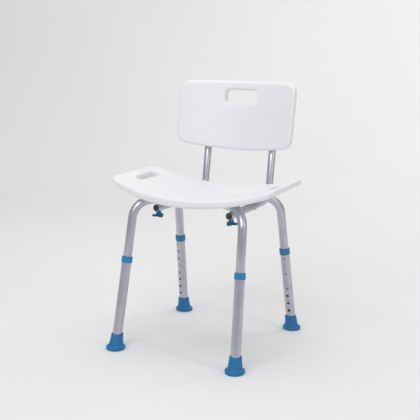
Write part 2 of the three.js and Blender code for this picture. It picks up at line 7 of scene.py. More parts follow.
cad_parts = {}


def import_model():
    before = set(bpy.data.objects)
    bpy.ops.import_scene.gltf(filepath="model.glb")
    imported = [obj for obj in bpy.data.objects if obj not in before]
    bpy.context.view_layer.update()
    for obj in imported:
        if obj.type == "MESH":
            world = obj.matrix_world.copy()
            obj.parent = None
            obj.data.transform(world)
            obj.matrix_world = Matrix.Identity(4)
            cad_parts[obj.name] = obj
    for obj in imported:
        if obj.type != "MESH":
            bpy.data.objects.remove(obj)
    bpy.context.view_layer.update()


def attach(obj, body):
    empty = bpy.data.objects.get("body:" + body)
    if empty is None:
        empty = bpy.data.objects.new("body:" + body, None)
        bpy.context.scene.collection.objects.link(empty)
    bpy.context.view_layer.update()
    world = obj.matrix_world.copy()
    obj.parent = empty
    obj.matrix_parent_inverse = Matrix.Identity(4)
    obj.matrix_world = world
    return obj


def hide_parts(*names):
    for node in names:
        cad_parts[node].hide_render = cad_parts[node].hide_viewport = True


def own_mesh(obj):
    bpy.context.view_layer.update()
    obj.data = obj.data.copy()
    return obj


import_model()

# ------------------------------------------------------------------ dimensions
# Millimetres, in the frame of the CAD before its shift along Y.
SHIFT_Y = -8.05
LEG_X, LEG_Y, LEAN_X, LEAN_Y = 195.556, 209.882, 0.046, 0.187
FRAME_R, FRAME_Z, FRAME_BEND, FRAME_END_Z = 12.7, 436.5, 60.0, 131.0
EXT_R, EXT_BORE, EXT_START, EXT_TOP_Z = 14.3, 13.1, 17.6, 268.0
HOLE_PITCH, HOLE_COUNT, HOLE_R, BUTTON_Z, BUTTON_INDEX, HOLE_YAW = 25.4, 8, 3.9, 168.7, 3, 9.0
COLLAR_R, COLLAR_Z0, COLLAR_Z1 = 16.1, 253.5, 271.8
SEAT_W, SEAT_FRONT, SEAT_BACK = 258.5, 180.0, 134.0
SEAT_FRONT_SWEEP, SEAT_BACK_SWEEP, SEAT_CORNER_F, SEAT_CORNER_B = 50.0, 14.0, 34.0, 40.0
SEAT_Z, SEAT_K2, SEAT_K4, SEAT_END_TILT, SEAT_HALF_T, SEAT_TAPER = 449.2, 35.6, 6.0, 3.5, 12.2, 3.2
GRIP_X, GRIP_HALF_W, GRIP_HALF_L, GRIP_Y = 213.0, 13.5, 58.0, 8.0
BACK_WT, BACK_WB, BACK_TOP, BACK_BOTTOM, BACK_RISE = 195.3, 193.4, 771.5, 559.3, 19.5
BACK_CORNER, BACK_T, BACK_CURVE, BACK_OFFSET = 31.0, 28.0, 50.0, -7.8
SLOT_HALF_W, SLOT_Z0, SLOT_Z1, SLOT_CORNER = 54.5, 701.5, 743.5, 11.0
POST_R, POST_Z, POST_BEND, POST_X_FRONT, POST_X = 11.1, 412.2, 55.0, 118.9, 111.4
POST_FRONT_Y, POST_TOP_Z, POST_LEAN, POST_Y450 = -101.0, 690.0, 0.161, 196.6
FRONT_PT, REAR_PT = (118.5, -86.7), (114.2, 83.6)
STUD_R, STUD_TOP, KNOB_TOP, KNOB_H, KNOB_PLATE = 3.0, 458.0, 400.6, 15.6, 6.4
LEGS = (("fl", -1, -1), ("fr", 1, -1), ("rl", -1, 1), ("rr", 1, 1))


def leg_point(sx, sy, z):
    return np.array([sx * (LEG_X - LEAN_X * z), sy * (LEG_Y - LEAN_Y * z), z])


def unit(v):
    v = np.asarray(v, float)
    return v / np.linalg.norm(v)


def leg_axis(sx, sy):
    return unit([-sx * LEAN_X, -sy * LEAN_Y, 1.0])


LEG_UNIT = math.sqrt(1 + LEAN_X**2 + LEAN_Y**2)


def hole_direction(sx, sy):
    a = math.radians(HOLE_YAW)
    d = np.array([sx * math.sin(a), -sy * math.cos(a), 0.0])
    e = leg_axis(sx, sy)
    return unit(d - e * d.dot(e))


def post_y(z):
    return POST_Y450 + POST_LEAN * (z - 450.0)


def leg_matrix(sx, sy):
    """Local leg frame: +X out of the button hole, +Z up the leg, origin on the floor."""
    ez, ex = leg_axis(sx, sy), hole_direction(sx, sy)
    ey = np.cross(ez, ex)
    m = np.eye(4)
    m[:3, 0], m[:3, 1], m[:3, 2], m[:3, 3] = ex, ey, ez, leg_point(sx, sy, 0.0)
    return m


# ------------------------------------------------------------------ mesh tools
def world(p):
    """Millimetres in the chair's own frame to metres in the shared frame."""
    p = np.asarray(p, float)
    return np.stack([p[..., 0], p[..., 1] + SHIFT_Y, p[..., 2]], -1) * 0.001


def move(p, m):
    p = np.asarray(p, float)
    return p @ m[:3, :3].T + m[:3, 3]


def new_object(name, verts, faces, uvs=None, sharp=32.0):
    me = bpy.data.meshes.new(name)
    me.from_pydata([tuple(v) for v in world(verts)], [], [tuple(int(i) for i in f) for f in faces])
    me.validate()
    if uvs is not None:
        layer = me.uv_layers.new(name="along")
        flat = np.array([uvs[i] for i in range(len(uvs))], float)
        idx = np.zeros(len(me.loops), dtype=int)
        me.loops.foreach_get("vertex_index", idx)
        layer.data.foreach_set("uv", flat[idx].ravel())
    ob = bpy.data.objects.new(name, me)
    bpy.context.scene.collection.objects.link(ob)
    clean(ob, sharp)
    return ob


def clean(ob, sharp):
    bm = bmesh.new()
    bm.from_mesh(ob.data)
    bmesh.ops.remove_doubles(bm, verts=bm.verts, dist=1e-6)
    bmesh.ops.dissolve_degenerate(bm, edges=bm.edges, dist=1e-7)
    bmesh.ops.recalc_face_normals(bm, faces=bm.faces)
    bm.to_mesh(ob.data)
    bm.free()
    ob.data.shade_smooth()
    ob.data.set_sharp_from_angle(angle=math.radians(sharp))


def boolean(ob, tool, operation="DIFFERENCE", sharp=32.0):
    mod = ob.modifiers.new("cut", "BOOLEAN")
    mod.operation = operation
    mod.object = tool
    mod.solver = "EXACT"
    deps = bpy.context.evaluated_depsgraph_get()
    deps.update()
    made = bpy.data.meshes.new_from_object(ob.evaluated_get(deps))
    ob.modifiers.remove(mod)
    old = ob.data
    ob.data = made
    made.name = old.name + "_cut"
    bpy.data.meshes.remove(old)
    bpy.data.objects.remove(tool, do_unlink=True)
    ob.data.shade_smooth()
    ob.data.set_sharp_from_angle(angle=math.radians(sharp))
    return ob


def lathe(profile, n=64, close=False):
    """Rings about +Z from (radius, height) pairs. Radius 0 makes a pole."""
    verts, faces, rows = [], [], []
    for r, z in profile:
        if r <= 1e-9:
            rows.append([len(verts)] * n)
            verts.append((0.0, 0.0, z))
        else:
            rows.append(list(range(len(verts), len(verts) + n)))
            for k in range(n):
                a = 2 * math.pi * k / n
                verts.append((r * math.cos(a), r * math.sin(a), z))
    pairs = list(zip(rows[:-1], rows[1:]))
    if close:
        pairs.append((rows[-1], rows[0]))
    for a, b in pairs:
        for k in range(n):
            q = [a[k], a[(k + 1) % n], b[(k + 1) % n], b[k]]
            q = [x for i, x in enumerate(q) if x != q[i - 1]]
            if len(q) > 2:
                faces.append(q)
    return np.array(verts), faces


def arc(cx, cz, r, a0, a1, n):
    """Points of a rounded corner in a lathe profile, in degrees."""
    return [
        (cx + r * math.cos(math.radians(a0 + (a1 - a0) * i / n)), cz + r * math.sin(math.radians(a0 + (a1 - a0) * i / n)))
        for i in range(n + 1)
    ]


def bent_path(corners, radii, arc_steps=14, extra=()):
    """Points and tangents of a polyline with rounded corners. extra: distances from the middle of each straight run."""
    c = [np.asarray(p, float) for p in corners]
    pts, tans = [c[0]], [unit(c[1] - c[0])]
    for i in range(1, len(c) - 1):
        d1, d2 = unit(c[i] - c[i - 1]), unit(c[i + 1] - c[i])
        phi = math.acos(max(-1.0, min(1.0, d1.dot(d2))))
        r = radii[i - 1]
        side = unit(d2 - d1 * d2.dot(d1))
        start = c[i] - d1 * r * math.tan(phi / 2)
        centre = start + side * r
        for k in range(arc_steps + 1):
            a = phi * k / arc_steps
            pts.append(centre - side * r * math.cos(a) + d1 * r * math.sin(a))
            tans.append(unit(side * math.sin(a) + d1 * math.cos(a)))
        if i - 1 < len(extra) and extra[i - 1]:
            mid = (c[i] + c[i + 1]) / 2
            for s in extra[i - 1]:
                pts.append(mid + d2 * s)
                tans.append(d2)
    pts.append(c[-1])
    tans.append(unit(c[-1] - c[-2]))
    return np.array(pts), np.array(tans)


def sweep(pts, tans, ro, ri, n=48, lip=0.35, shape=None):
    """Open-ended tube along a path, with softened end edges, plus UVs in metres (around, along)."""
    t0 = tans[0]
    ref = np.array([0.0, 0.0, 1.0]) if abs(t0[2]) < 0.8 else np.array([1.0, 0.0, 0.0])
    nrm = unit(np.cross(t0, ref))
    length = [0.0]
    for i in range(1, len(pts)):
        length.append(length[-1] + np.linalg.norm(pts[i] - pts[i - 1]))
    rows = []
    frames = []
    for i, (p, t) in enumerate(zip(pts, tans)):
        nrm = unit(nrm - t * nrm.dot(t))
        frames.append((p, t, nrm, np.cross(t, nrm), length[i]))
    first, last = frames[0], frames[-1]
    seq = []
    # outer skin from the first end to the last, then back along the bore
    seq.append((first, 0.0, ro - lip))
    seq.append((first, lip, ro))
    seq += [(f, 0.0, ro) for f in frames[1:-1]]
    seq.append((last, -lip, ro))
    seq.append((last, 0.0, ro - lip))
    seq.append((last, 0.0, ri))
    seq += [(f, 0.0, ri) for f in frames[1:-1][::-1]]
    seq.append((first, 0.0, ri))
    verts, uvs = [], []
    for f, off, r in seq:
        p, t, a, b, s = f
        for k in range(n + 1):
            ang = 2 * math.pi * k / n
            q = p + t * off + a * (r * math.cos(ang)) + b * (r * math.sin(ang))
            if shape is not None:
                q = shape(q, r)
            verts.append(q)
            uvs.append((0.001 * r * ang, 0.001 * (s + off)))
    faces = []
    m = len(seq)
    for i in range(m):
        j = (i + 1) % m
        for k in range(n):
            faces.append((i * (n + 1) + k, i * (n + 1) + k + 1, j * (n + 1) + k + 1, j * (n + 1) + k))
    return np.array(verts), faces, uvs


def bar_object(name, a, b, r, n=24):
    a, b = np.asarray(a, float), np.asarray(b, float)
    t = unit(b - a)
    ref = np.array([0.0, 0.0, 1.0]) if abs(t[2]) < 0.8 else np.array([1.0, 0.0, 0.0])
    x = unit(np.cross(t, ref))
    y = np.cross(t, x)
    v = []
    for p in (a, b):
        for k in range(n):
            g = 2 * math.pi * k / n
            v.append(p + x * r * math.cos(g) + y * r * math.sin(g))
    f = [(k, (k + 1) % n, n + (k + 1) % n, n + k) for k in range(n)]
    f += [tuple(range(n))[::-1], tuple(range(n, 2 * n))]
    return v, f


def join_parts(parts):
    verts, faces, uvs = [], [], []
    for part in parts:
        v, f = part[0], part[1]
        off = len(verts)
        verts += [tuple(p) for p in v]
        faces += [tuple(int(i) + off for i in q) for q in f]
    return np.array(verts), faces


# ------------------------------------------------------------------- materials
def nodes_of(name):
    mat = bpy.data.materials.new(name)
    mat.use_nodes = True
    nt = mat.node_tree
    nt.nodes.clear()
    out = nt.nodes.new("ShaderNodeOutputMaterial")
    bsdf = nt.nodes.new("ShaderNodeBsdfPrincipled")
    nt.links.new(bsdf.outputs["BSDF"], out.inputs["Surface"])
    return mat, nt, bsdf


def noise(nt, coord, scale, detail=3.0, rough=0.55, stretch=None, dist=0.0):
    n = nt.nodes.new("ShaderNodeTexNoise")
    n.inputs["Scale"].default_value = scale
    n.inputs["Detail"].default_value = detail
    n.inputs["Roughness"].default_value = rough
    n.inputs["Distortion"].default_value = dist
    if stretch is not None:
        mp = nt.nodes.new("ShaderNodeMapping")
        mp.inputs["Scale"].default_value = stretch
        nt.links.new(coord, mp.inputs["Vector"])
        nt.links.new(mp.outputs["Vector"], n.inputs["Vector"])
    else:
        nt.links.new(coord, n.inputs["Vector"])
    return n.outputs["Fac"]


def ramp(nt, fac, stops):
    r = nt.nodes.new("ShaderNodeValToRGB")
    el = r.color_ramp.elements
    el[0].position, el[0].color = stops[0][0], (*stops[0][1], 1)
    el[1].position, el[1].color = stops[-1][0], (*stops[-1][1], 1)
    for pos, col in stops[1:-1]:
        e = el.new(pos)
        e.color = (*col, 1)
    nt.links.new(fac, r.inputs["Fac"])
    return r.outputs["Color"]


def spread(nt, fac, lo, hi, a=0.3, b=0.7):
    m = nt.nodes.new("ShaderNodeMapRange")
    m.inputs["From Min"].default_value = a
    m.inputs["From Max"].default_value = b
    m.inputs["To Min"].default_value = lo
    m.inputs["To Max"].default_value = hi
    nt.links.new(fac, m.inputs["Value"])
    return m.outputs["Result"]


def mix(nt, fac, a, b, kind="MIX"):
    m = nt.nodes.new("ShaderNodeMix")
    m.data_type = "RGBA"
    m.blend_type = kind
    for sock, val in ((m.inputs[0], fac), (m.inputs[6], a), (m.inputs[7], b)):
        if isinstance(val, (int, float)):
            sock.default_value = val
        elif isinstance(val, tuple):
            sock.default_value = (*val, 1)
        else:
            nt.links.new(val, sock)
    return m.outputs[2]


def bump(nt, bsdf, layers):
    prev = None
    for height, strength, distance in layers:
        b = nt.nodes.new("ShaderNodeBump")
        b.inputs["Strength"].default_value = strength
        b.inputs["Distance"].default_value = distance
        nt.links.new(height, b.inputs["Height"])
        if prev is not None:
            nt.links.new(prev, b.inputs["Normal"])
        prev = b.outputs["Normal"]
    nt.links.new(prev, bsdf.inputs["Normal"])


def object_coord(nt):
    return nt.nodes.new("ShaderNodeTexCoord").outputs["Object"]


def edge_mask(nt, lo=0.52, hi=0.62):
    g = nt.nodes.new("ShaderNodeNewGeometry")
    return spread(nt, g.outputs["Pointiness"], 0.0, 1.0, lo, hi)


def white_plastic():
    mat, nt, b = nodes_of("moulded_white")
    c = object_coord(nt)
    cloud = noise(nt, c, 6.0, 3.0)
    fine = noise(nt, c, 900.0, 2.0)
    scuff = noise(nt, c, 40.0, 5.0, 0.7, stretch=(1.0, 0.25, 1.0))
    base = ramp(nt, cloud, [(0.3, (0.795, 0.798, 0.815)), (0.7, (0.828, 0.830, 0.842))])
    rubbed = mix(nt, spread(nt, scuff, 0.0, 0.16, 0.56, 0.72), base, (0.74, 0.742, 0.755))
    nt.links.new(mix(nt, edge_mask(nt), rubbed, (0.87, 0.872, 0.885)), b.inputs["Base Color"])
    nt.links.new(spread(nt, scuff, 0.36, 0.50), b.inputs["Roughness"])
    b.inputs["IOR"].default_value = 1.5
    b.inputs["Specular IOR Level"].default_value = 0.5
    bump(nt, b, [(cloud, 0.10, 0.002), (fine, 0.16, 0.0003), (scuff, 0.03, 0.0004)])
    return mat


def aluminium(name, lo, hi, rough=(0.30, 0.42)):
    mat, nt, b = nodes_of(name)
    uv = nt.nodes.new("ShaderNodeUVMap")
    uv.uv_map = "along"
    c = object_coord(nt)
    drawn = noise(nt, uv.outputs["UV"], 1.0, 4.0, 0.6, stretch=(2600.0, 22.0, 1.0))
    cloud = noise(nt, c, 14.0, 3.0)
    speck = noise(nt, c, 420.0, 2.0, 0.6)
    base = ramp(nt, cloud, [(0.3, lo), (0.7, hi)])
    base = mix(nt, spread(nt, drawn, 0.0, 0.22, 0.35, 0.75), base, tuple(x * 0.82 for x in lo))
    base = mix(nt, spread(nt, speck, 0.0, 0.25, 0.60, 0.78), base, tuple(x * 0.72 for x in lo))
    nt.links.new(base, b.inputs["Base Color"])
    b.inputs["Metallic"].default_value = 1.0
    b.inputs["Anisotropic"].default_value = 0.35
    nt.links.new(spread(nt, drawn, rough[0], rough[1]), b.inputs["Roughness"])
    bump(nt, b, [(drawn, 0.05, 0.0002), (speck, 0.04, 0.0002)])
    return mat


def coloured(name, lo, hi, rough, grain=500.0, worn=None, depth=0.18):
    mat, nt, b = nodes_of(name)
    c = object_coord(nt)
    cloud = noise(nt, c, 30.0, 4.0)
    fine = noise(nt, c, grain, 3.0, 0.6)
    dust = noise(nt, c, 120.0, 6.0, 0.7)
    base = ramp(nt, cloud, [(0.3, lo), (0.7, hi)])
    base = mix(nt, spread(nt, dust, 0.0, 0.12, 0.55, 0.75), base, tuple(min(1.0, x * 1.5 + 0.02) for x in hi))
    if worn:
        base = mix(nt, edge_mask(nt, 0.53, 0.68), base, worn)
    nt.links.new(base, b.inputs["Base Color"])
    nt.links.new(spread(nt, fine, rough[0], rough[1]), b.inputs["Roughness"])
    bump(nt, b, [(cloud, 0.08, 0.001), (fine, depth, 0.0003)])
    return mat


def steel(name, lo, hi, rough=(0.25, 0.40)):
    mat, nt, b = nodes_of(name)
    c = object_coord(nt)
    cloud = noise(nt, c, 120.0, 4.0)
    fine = noise(nt, c, 1500.0, 2.0)
    nt.links.new(ramp(nt, cloud, [(0.3, lo), (0.7, hi)]), b.inputs["Base Color"])
    b.inputs["Metallic"].default_value = 1.0
    nt.links.new(spread(nt, cloud, rough[0], rough[1]), b.inputs["Roughness"])
    bump(nt, b, [(fine, 0.08, 0.0002)])
    return mat


WHITE = white_plastic()
ALU = aluminium("anodised_tube", (0.495, 0.505, 0.555), (0.570, 0.580, 0.635), rough=(0.28, 0.38))
BLUE = coloured("blue_collar", (0.010, 0.182, 0.430), (0.014, 0.212, 0.480), (0.34, 0.50), worn=(0.05, 0.26, 0.55), depth=0.10)
TIP = coloured("blue_rubber", (0.004, 0.135, 0.345), (0.007, 0.158, 0.395), (0.38, 0.55), worn=(0.02, 0.24, 0.50), depth=0.25)
KNOB = coloured("blue_knob", (0.003, 0.100, 0.215), (0.006, 0.122, 0.262), (0.32, 0.48), worn=(0.03, 0.19, 0.34), depth=0.10)
PLUG = coloured("dark_plug", (0.050, 0.050, 0.052), (0.075, 0.075, 0.076), (0.40, 0.60))
STEEL = steel("zinc_steel", (0.52, 0.52, 0.54), (0.64, 0.64, 0.65))
BRASS = steel("brass", (0.55, 0.41, 0.18), (0.68, 0.52, 0.26))


def finish_piece(ob, mat, body, slot, *replaced):
    ob.data.materials.clear()
    ob.data.materials.append(mat)
    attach(ob, body)
    if replaced:
        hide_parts(*replaced)
    return ob


# ----------------------------------------------------------- plates with holes
def offset_loop(loop, d, inward=True):
    n = len(loop)
    out = []
    for i in range(n):
        t = loop[(i + 1) % n] - loop[i - 1]
        t = t / (np.linalg.norm(t) + 1e-12)
        nrm = np.array([t[1], -t[0]])  # outward for a counter-clockwise loop
        out.append(loop[i] - nrm * d if inward else loop[i] + nrm * d)
    return np.array(out)


def inside(poly, p):
    x, y = p[:, 0], p[:, 1]
    hit = np.zeros(len(p), bool)
    n = len(poly)
    for i in range(n):
        x1, y1 = poly[i - 1]
        x2, y2 = poly[i]
        cond = (y1 > y) != (y2 > y)
        xs = (x2 - x1) * (y - y1) / (y2 - y1 + 1e-30) + x1
        hit ^= cond & (x < xs)
    return hit


def loop_distance(loop, p):
    a, b = loop, np.roll(loop, -1, 0)
    best = np.full(len(p), 1e9)
    for i in range(len(loop)):
        ab = b[i] - a[i]
        t = np.clip(((p - a[i]) @ ab) / (ab @ ab + 1e-12), 0, 1)
        d = np.linalg.norm(p - (a[i] + t[:, None] * ab), axis=1)
        best = np.minimum(best, d)
    return best


def resample(loop, step):
    loop = np.asarray(loop, float)
    nxt = np.roll(loop, -1, 0)
    seg = np.linalg.norm(nxt - loop, axis=1)
    s = np.concatenate([[0], np.cumsum(seg)])
    n = max(12, int(round(s[-1] / step)))
    out = []
    for k in range(n):
        u = s[-1] * k / n
        i = min(len(loop) - 1, int(np.searchsorted(s, u, side="right") - 1))
        f = (u - s[i]) / max(seg[i], 1e-9)
        out.append(loop[i] * (1 - f) + nxt[i] * f)
    return np.array(out)


def plate(name, outline, holes, rings, hole_rings, spacing, extra_pts, extra_lines, top, bottom):
    """Closed plate over a flat outline. top and bottom map points and their edge distances to 3D."""
    pts, edges = [], []

    def put_loop(loop, constrain):
        off = len(pts)
        pts.extend([tuple(p) for p in loop])
        if constrain:
            n = len(loop)
            edges.extend([(off + i, off + (i + 1) % n) for i in range(n)])

    put_loop(outline, True)
    for d in rings[1:]:
        put_loop(offset_loop(outline, d), False)
    for h in holes:
        put_loop(h, True)
        for d in hole_rings[1:]:
            put_loop(offset_loop(h, d, inward=False), False)
    lo, hi = outline.min(0), outline.max(0)
    gx = np.arange(lo[0], hi[0], spacing)
    gy = np.arange(lo[1], hi[1], spacing)
    grid = np.array([(x + (spacing / 2 if j % 2 else 0), y) for j, y in enumerate(gy) for x in gx])
    if len(extra_pts):
        grid = np.vstack([grid, np.asarray(extra_pts, float)])
    ok = inside(outline, grid) & (loop_distance(outline, grid) > rings[-1] + spacing * 0.35)
    for h in holes:
        ok &= ~inside(h, grid) & (loop_distance(h, grid) > hole_rings[-1] + spacing * 0.3)
    pts.extend([tuple(p) for p in grid[ok]])
    for line in extra_lines:
        off = len(pts)
        pts.extend([tuple(p) for p in line])
        edges.extend([(off + i, off + i + 1) for i in range(len(line) - 1)])
    res = geometry.delaunay_2d_cdt([Vector(p) for p in pts], edges, [], 0, 1e-4)
    xy = np.array([tuple(v) for v in res[0]])
    tris = np.array([tuple(f) for f in res[2] if len(f) == 3])
    cen = xy[tris].mean(1)
    keep = inside(outline, cen)
    for h in holes:
        keep &= ~inside(h, cen)
    tris = tris[keep]
    area = np.cross(xy[tris[:, 1]] - xy[tris[:, 0]], xy[tris[:, 2]] - xy[tris[:, 0]])
    tris[area < 0] = tris[area < 0][:, ::-1]
    de = loop_distance(outline, xy)
    dh = np.full(len(xy), 1e9)
    for h in holes:
        dh = np.minimum(dh, loop_distance(h, xy))
    a, b = top(xy, de, dh), bottom(xy, de, dh)
    n = len(xy)
    faces = [tuple(t) for t in tris] + [tuple(n + i for i in t[::-1]) for t in tris]
    count = {}
    for t in tris:
        for i in range(3):
            e = (int(t[i]), int(t[(i + 1) % 3]))
            count[e] = 1
    rim = [e for e in count if (e[1], e[0]) not in count]
    # the rim is a wall of two strips that meet at points halfway between top and bottom
    mids, where = [], {}
    for e in rim:
        for i in e:
            if i not in where:
                where[i] = 2 * n + len(mids)
                mids.append((a[i] + b[i]) / 2)
    for i, j in rim:
        faces.append((j, i, where[i], where[j]))
        faces.append((where[j], where[i], n + i, n + j))
    verts = np.vstack([a, b, np.array(mids)]) if mids else np.vstack([a, b])
    ob = new_object(name, verts, faces, sharp=40.0)
    return ob


def round_profile(d, r, p0):
    k = np.clip(d / r, 0, 1)
    return p0 + (1 - p0) * np.sqrt(np.clip(1 - (1 - k) ** 2, 0, 1))


def stadium(cx, cy, r, half_l, n=14):
    pts = []
    for k in range(n + 1):
        a = math.pi * k / n
        pts.append((cx + r * math.cos(a), cy + half_l - r + r * math.sin(a)))
    for k in range(n + 1):
        a = math.pi + math.pi * k / n
        pts.append((cx + r * math.cos(a), cy - half_l + r + r * math.sin(a)))
    return np.array(pts)


# ------------------------------------------------------------------------ seat
def seat_outline():
    def front(x):
        return -SEAT_FRONT + SEAT_FRONT_SWEEP * (x / SEAT_W) ** 2

    def back(x):
        return SEAT_BACK - SEAT_BACK_SWEEP * (x / SEAT_W) ** 2

    pts = []

    def corner(cx, cy, r, a0):
        for k in range(13):
            a = a0 + k * math.pi / 24
            pts.append((cx + r * math.cos(a), cy + r * math.sin(a)))

    xf, xb = SEAT_W - SEAT_CORNER_F, SEAT_W - SEAT_CORNER_B
    for k in range(1, 60):
        x = -xf + 2 * xf * k / 60
        pts.append((x, front(x)))
    corner(xf, front(xf) + SEAT_CORNER_F, SEAT_CORNER_F, -math.pi / 2)
    corner(xb, back(xb) - SEAT_CORNER_B, SEAT_CORNER_B, 0)
    for k in range(1, 60):
        x = xb - 2 * xb * k / 60
        pts.append((x, back(x)))
    corner(-xb, back(xb) - SEAT_CORNER_B, SEAT_CORNER_B, math.pi / 2)
    corner(-xf, front(xf) + SEAT_CORNER_F, SEAT_CORNER_F, math.pi)
    return resample(np.array(pts), 6.0)


def seat_mid(x, y):
    return (
        SEAT_Z
        + SEAT_K2 * (x / 250) ** 2
        + SEAT_K4 * (x / 250) ** 4
        + SEAT_END_TILT * (x / 253) ** 2 * y / 150
    )


def seat_half(x):
    return SEAT_HALF_T - SEAT_TAPER * np.minimum(1, (x / 253) ** 2)


DIAG = unit([LEG_X - LEAN_X * FRAME_Z, LEG_Y - LEAN_Y * FRAME_Z])


def channel_roof(x, y):
    """Height that the two tube channels press into the seat's underside."""
    roof = np.full(len(x), -1e9)
    for s in (-1, 1):
        t = np.abs(-DIAG[1] * s * x + DIAG[0] * y)
        h = FRAME_Z + np.sqrt(np.clip(13.6**2 - np.minimum(t, 13.3) ** 2, 0, None))
        h = np.where(t < 13.5, h, h - (t - 13.5) * 9.0)
        roof = np.maximum(roof, h)
    return roof


def make_seat():
    outline = seat_outline()
    holes = [resample(stadium(s * GRIP_X, GRIP_Y, GRIP_HALF_W, GRIP_HALF_L), 3.4) for s in (-1, 1)]
    rings = [0, 0.15, 0.6, 1.3, 2.3, 3.7, 5.6, 8.0]
    hole_rings = [0, 0.12, 0.5, 1.1, 2.0, 3.2, 4.6]

    def edge(xy, de, dh):
        return np.minimum(round_profile(de, 8.0, 0.30), round_profile(dh, 4.6, 0.34))

    def top(xy, de, dh):
        x, y = xy[:, 0], xy[:, 1]
        z = seat_mid(x, y) + seat_half(x) * edge(xy, de, dh)
        return np.stack([x, y, z], 1)

    def bottom(xy, de, dh):
        x, y = xy[:, 0], xy[:, 1]
        z = seat_mid(x, y) - seat_half(x) * edge(xy, de, dh)
        far = np.minimum(de, dh) > 9.0
        z = np.where(far, np.maximum(z, np.minimum(channel_roof(x, y), seat_mid(x, y) + 2.0)), z)
        return np.stack([x, y, z], 1)

    lines, extra = [], []
    for s in (-1, 1):
        d = np.array([DIAG[0], s * DIAG[1]])
        n = np.array([-d[1], d[0]])
        for t in (-15.6, -14.6, -13.5, -12.2, -9.5, -5.0, 0.0, 5.0, 9.5, 12.2, 13.5, 14.6, 15.6):
            for u in np.arange(-150, 151, 6.0):
                extra.append(d * u + n * t)
    return plate("seat_shell", outline, holes, rings, hole_rings, 9.0, extra, lines, top, bottom)


seat = finish_piece(make_seat(), WHITE, "chair_body", "shell", "seat_panel")


# -------------------------------------------------------------------- backrest
def make_backrest():
    def bottom_z(x):
        return BACK_BOTTOM + BACK_RISE * (x / BACK_WB) ** 2

    r = BACK_CORNER
    xb, xt = BACK_WB - r, BACK_WT - r
    pts = []

    def corner(cx, cz, a0):
        for k in range(13):
            a = a0 + k * math.pi / 24
            pts.append((cx + r * math.cos(a), cz + r * math.sin(a)))

    for k in range(1, 60):
        x = -xb + 2 * xb * k / 60
        pts.append((x, bottom_z(x)))
    corner(xb, bottom_z(xb) + r, -math.pi / 2)
    corner(xt, BACK_TOP - r, 0)
    corner(-xt, BACK_TOP - r, math.pi / 2)
    corner(-xb, bottom_z(xb) + r, math.pi)
    outline = resample(np.array(pts), 5.5)
    q = SLOT_CORNER
    hp = []
    for cx, cz, a0 in (
        (SLOT_HALF_W - q, SLOT_Z1 - q, 0),
        (-SLOT_HALF_W + q, SLOT_Z1 - q, math.pi / 2),
        (-SLOT_HALF_W + q, SLOT_Z0 + q, math.pi),
        (SLOT_HALF_W - q, SLOT_Z0 + q, -math.pi / 2),
    ):
        for k in range(9):
            a = a0 + k * math.pi / 16
            hp.append((cx + q * math.cos(a), cz + q * math.sin(a)))
    hole = resample(np.array(hp), 3.4)
    rings = [0, 0.15, 0.6, 1.3, 2.3, 3.8, 5.8, 8.5]
    hole_rings = [0, 0.12, 0.5, 1.1, 2.0, 3.2, 4.8]
    half = BACK_T / 2

    def mid_y(x, z):
        return post_y(z) + BACK_OFFSET - BACK_CURVE * (x / 200) ** 2

    def edge(de, dh):
        return np.minimum(round_profile(de, 8.5, 0.42), round_profile(dh, 4.8, 0.5))

    def lean(dh):
        """How far points near the slot move up in front and down behind, so its walls are square to the panel."""
        k = np.clip(1 - dh / 22.0, 0, 1)
        return half * POST_LEAN * k * k * (3 - 2 * k)

    def front(xy, de, dh):
        x, z = xy[:, 0], xy[:, 1]
        e = edge(de, dh)
        z = z + lean(dh) * e
        return np.stack([x, mid_y(x, z) - half * e, z], 1)

    def rear(xy, de, dh):
        x, z = xy[:, 0], xy[:, 1]
        z = z - lean(dh) * edge(de, dh)
        y = mid_y(x, z) + half * edge(de, dh)
        for s in (-1, 1):
            u = x - s * POST_X
            w = np.maximum(0, z - 690.0)
            rr = 15.0 - 0.6 * np.clip(1 - de / 3.0, 0, 1)
            k = rr**2 - u**2 - w**2
            boss = np.where(k > 0, post_y(z) + np.sqrt(np.clip(k, 0, None)), post_y(z) - (np.sqrt(np.clip(-k, 0, None)) * 2.2))
            kk = 5.0
            h = np.clip(0.5 + 0.5 * (boss - y) / kk, 0, 1)
            y = y * (1 - h) + boss * h + kk * h * (1 - h)
            y = np.where(y > post_y(z) + 15.0, post_y(z) + 15.0, y)
        return np.stack([x, y, z], 1)

    extra = []
    for s in (-1, 1):
        for u in np.concatenate([np.arange(-21, -10, 1.6), np.arange(-10, 10.1, 3.0), np.arange(11, 22, 1.6)]):
            for z in np.arange(572, 716, 5.0):
                extra.append((s * POST_X + u, z))
    return plate("backrest_shell", outline, [hole], rings, hole_rings, 8.0, extra, [], front, rear)


backrest = finish_piece(make_backrest(), WHITE, "chair_body", "shell", "backrest_panel")


